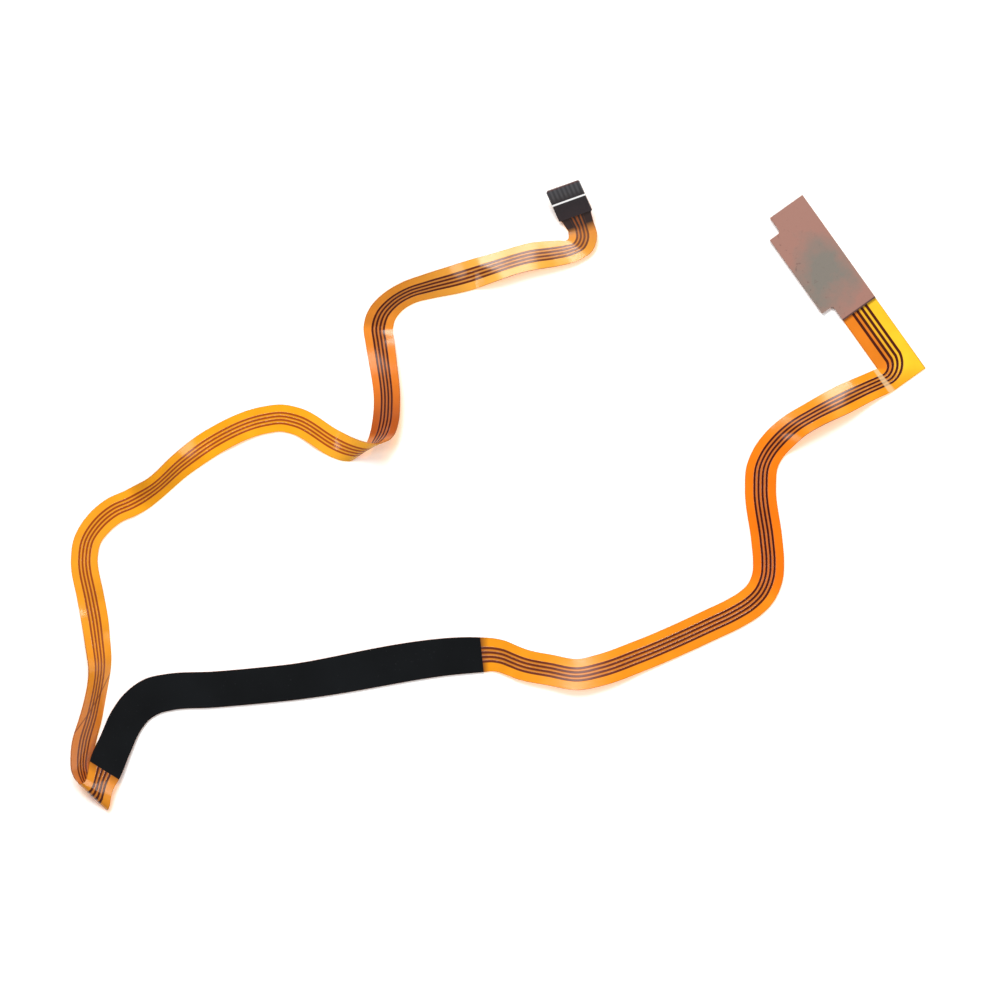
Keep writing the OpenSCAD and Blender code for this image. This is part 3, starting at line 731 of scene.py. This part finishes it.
edged = addNode(tree, "ShaderNodeMix", data_type="RGBA", values={7: colour(plateLook["edge"])},
                links={0: edgeLine.outputs[0], 6: tone.outputs[2]})
gritNoise = addNode(tree, "ShaderNodeTexNoise", values={"Scale": 1900.0, "Detail": 3.0, "Roughness": 0.7},
                    links={"Vector": spot.outputs["Object"]})
grit = addNode(tree, "ShaderNodeMapRange", values={"From Min": 0.6, "From Max": 0.7, "To Max": 0.75},
               links={"Value": gritNoise.outputs["Fac"]})
plateSide = addNode(tree, "ShaderNodeVectorMath", operation="DOT_PRODUCT", values={1: legLeft},
                    links={0: spot.outputs["Object"]})
fromLeft = addNode(tree, "ShaderNodeMath", operation="SUBTRACT", values={1: (heelAt + shift).dot(legLeft)},
                   links={0: plateSide.outputs["Value"]})
atEdge = addNode(tree, "ShaderNodeMapRange", values={"From Min": plateLook["gritFrom"][0],
                 "From Max": plateLook["gritFrom"][1], "To Min": 0.15}, links={"Value": fromLeft.outputs[0]})
gritShow = addNode(tree, "ShaderNodeMath", operation="MULTIPLY",
                   links={0: grit.outputs[0], 1: atEdge.outputs[0]})
gritty = addNode(tree, "ShaderNodeMix", data_type="RGBA", values={7: colour(plateLook["grit"])},
                 links={0: gritShow.outputs[0], 6: edged.outputs[2]})
dull = addNode(tree, "ShaderNodeMapRange", values={"To Min": 0.45, "To Max": 0.65},
               links={"Value": cloud.outputs["Fac"]})
relief = addNode(tree, "ShaderNodeBump", values={"Strength": 0.4, "Distance": 0.00002},
                 links={"Height": gritNoise.outputs["Fac"]})
surface = addNode(tree, "ShaderNodeBsdfPrincipled", links={"Base Color": gritty.outputs[2],
                  "Roughness": dull.outputs[0], "Normal": relief.outputs[0]})
close(tree, surface.outputs[0])
dress("plate_stiffener", plateFinish)

# cured bonding film: dull straw-coloured glue line at the stiffeners' edges
glueLook = {"tone": "b89058", "dark": "8a6838"}
glueFinish, tree = newFinish("cured_bonding_film")
spot = addNode(tree, "ShaderNodeTexCoord")
cloud = addNode(tree, "ShaderNodeTexNoise", values={"Scale": 1200.0, "Detail": 2.0},
                links={"Vector": spot.outputs["Object"]})
tone = addNode(tree, "ShaderNodeMix", data_type="RGBA", values={6: colour(glueLook["tone"]),
               7: colour(glueLook["dark"])}, links={0: cloud.outputs["Fac"]})
surface = addNode(tree, "ShaderNodeBsdfPrincipled", values={"Roughness": 0.5},
                  links={"Base Color": tone.outputs[2]})
close(tree, surface.outputs[0])
dress("tail_bond", glueFinish)
dress("plate_bond", glueFinish)

# gold flash over nickel: warm pale metal with fine wear
goldLook = {"tone": "e6bc58", "worn": "caa048"}
goldFinish, tree = newFinish("gold_flashed_contact")
spot = addNode(tree, "ShaderNodeTexCoord")
wipe = addNode(tree, "ShaderNodeTexNoise", values={"Scale": 3000.0, "Detail": 3.0},
               links={"Vector": spot.outputs["Object"]})
tone = addNode(tree, "ShaderNodeMix", data_type="RGBA", values={6: colour(goldLook["tone"]),
               7: colour(goldLook["worn"])}, links={0: wipe.outputs["Fac"]})
dull = addNode(tree, "ShaderNodeMapRange", values={"To Min": 0.2, "To Max": 0.4},
               links={"Value": wipe.outputs["Fac"]})
metal = addNode(tree, "ShaderNodeBsdfPrincipled", values={"Metallic": 1.0},
                links={"Base Color": tone.outputs[2], "Roughness": dull.outputs[0]})
close(tree, metal.outputs[0])
for k in (1, 2, 3):
    dress(f"spare_contact_{k}", goldFinish)
print("finishes given")

# floor: paper that looks plain white and still takes the cable's shade, set just clear of the film
floorLook = {"paper": "e8e8e8", "seen": 1.15, "size": 3.0, "drop": 0.00003}
bpy.ops.object.select_all(action="DESELECT")
bpy.ops.mesh.primitive_plane_add(size=floorLook["size"], location=(0, 0, -floorLook["drop"]))
floor = bpy.context.active_object
floor.name = "floor"
paper, tree = newFinish("white_paper")
ray = addNode(tree, "ShaderNodeLightPath")
direct = addNode(tree, "ShaderNodeMath", operation="MAXIMUM", links={0: ray.outputs["Is Camera Ray"],
                 1: ray.outputs["Is Glossy Ray"]})
seen = addNode(tree, "ShaderNodeMath", operation="MAXIMUM", links={0: direct.outputs[0],
               1: ray.outputs["Is Transmission Ray"]})
tone = addNode(tree, "ShaderNodeMix", data_type="RGBA", values={6: colour(floorLook["paper"]),
               7: (floorLook["seen"], floorLook["seen"], floorLook["seen"], 1)}, links={0: seen.outputs[0]})
surface = addNode(tree, "ShaderNodeBsdfDiffuse", links={"Color": tone.outputs[2]})
close(tree, surface.outputs[0])
floor.data.materials.append(paper)

# lights: a broad lamp behind the top edge, weaker ones from the left and the right, an even room
roomStrength = 0.28
lamps = [
    {"name": "key", "place": (-0.12, 0.42, 0.55), "size": 0.3, "watts": 3.9},
    {"name": "window", "place": (-0.42, 0.03, 0.55), "size": 0.2, "watts": 0.7},
    {"name": "side", "place": (0.5, -0.1, 0.5), "size": 0.3, "watts": 1.5},
]
for lamp in lamps:
    light = bpy.data.lights.new(lamp["name"], "AREA")
    light.size = lamp["size"]
    light.energy = lamp["watts"]
    holder = bpy.data.objects.new(lamp["name"], light)
    holder.location = lamp["place"]
    holder.rotation_euler = (-Vector(lamp["place"])).to_track_quat("-Z", "Y").to_euler()
    bpy.context.collection.objects.link(holder)
world = bpy.data.worlds.new("room")
world.use_nodes = True
world.node_tree.nodes.clear()
room = addNode(world.node_tree, "ShaderNodeBackground",
               values={"Color": (1, 1, 1, 1), "Strength": roomStrength})
addNode(world.node_tree, "ShaderNodeOutputWorld", links={"Surface": room.outputs[0]})
bpy.context.scene.world = world
bpy.context.scene.view_settings.view_transform = "Standard"
print("stage lit")
